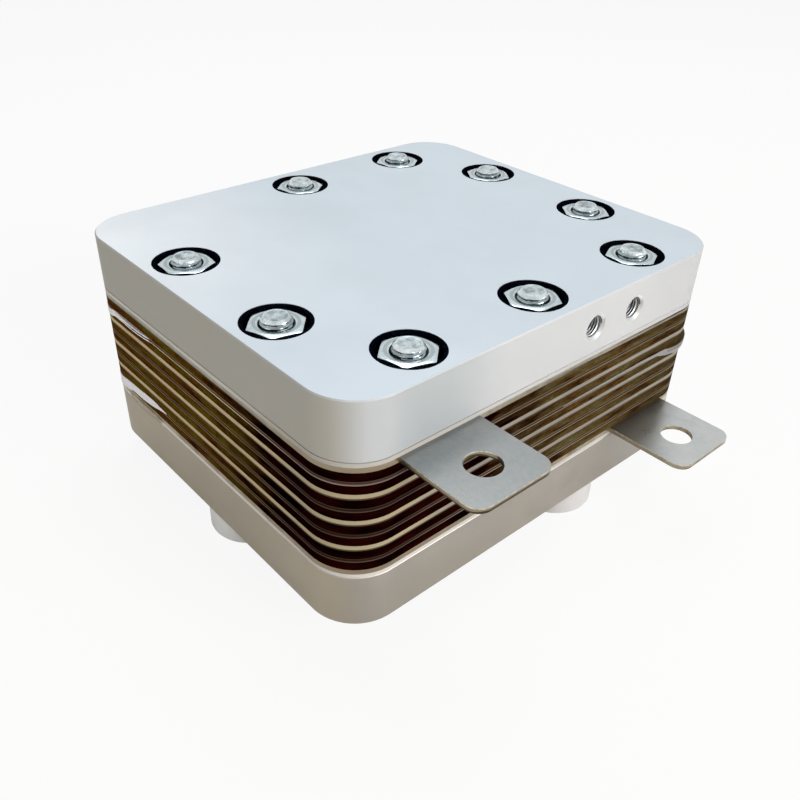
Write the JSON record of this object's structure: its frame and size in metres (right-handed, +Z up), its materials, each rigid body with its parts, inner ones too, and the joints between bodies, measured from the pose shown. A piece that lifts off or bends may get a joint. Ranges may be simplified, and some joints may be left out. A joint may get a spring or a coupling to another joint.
{
  "type": "pem electrolyzer",
  "caption": "Water electrolysis stack clamped between two thick end plates, with recessed nuts, threaded ports, terminal tabs and white feet.",
  "frame": {"origin": "centre of the part's box on the surface that the feet stand on; the plates' middle lies 12.3 mm behind it, because the tabs stand out of the front", "axes": "+X to the right seen from the front, +Y to the back, +Z up; the ports and tabs face -Y"},
  "size_m": [0.1376, 0.145, 0.0755],
  "materials": {
    "end_plate": "fine satin",
    "collector": "satin",
    "bipolar": "satin, slightly golden at the edge",
    "cell_frame": "dark amber, semi gloss",
    "seal_sheet": "pale, soft",
    "insulator_sheet": "pale, soft",
    "membrane": "thin film",
    "metal_felt": "porous",
    "carbon_felt": "porous, matt",
    "black_rubber": "matt",
    "black_plastic": "matt",
    "bright_steel": "zinc plated, bright",
    "white_plastic": "smooth"
  },
  "bodies": {
    "root": {"feet": "white_plastic", "foot_screws": "bright_steel", "bottom_end_plate": "end_plate", "bottom_insulator": "insulator_sheet", "bottom_collector": "collector", "anode_frame_1": "cell_frame", "anode_felt_1": "metal_felt", "anode_seal_1": "seal_sheet", "membrane_1": "membrane", "cathode_seal_1": "seal_sheet", "cathode_felt_1": "carbon_felt", "cathode_frame_1": "cell_frame", "bipolar_plate_1": "bipolar", "anode_frame_2": "cell_frame", "anode_felt_2": "metal_felt", "anode_seal_2": "seal_sheet", "membrane_2": "membrane", "cathode_seal_2": "seal_sheet", "cathode_felt_2": "carbon_felt", "cathode_frame_2": "cell_frame", "bipolar_plate_2": "bipolar", "anode_frame_3": "cell_frame", "anode_felt_3": "metal_felt", "anode_seal_3": "seal_sheet", "membrane_3": "membrane", "cathode_seal_3": "seal_sheet", "cathode_felt_3": "carbon_felt", "cathode_frame_3": "cell_frame", "bipolar_plate_3": "bipolar", "anode_frame_4": "cell_frame", "anode_felt_4": "metal_felt", "anode_seal_4": "seal_sheet", "membrane_4": "membrane", "cathode_seal_4": "seal_sheet", "cathode_felt_4": "carbon_felt", "cathode_frame_4": "cell_frame", "top_collector": "collector", "top_insulator": "insulator_sheet", "ring_seals": "black_rubber", "top_end_plate": "end_plate", "insulating_sleeves": "black_plastic", "washers": "bright_steel", "nuts": "bright_steel", "studs": "bright_steel"}
  },
  "joints": []
}
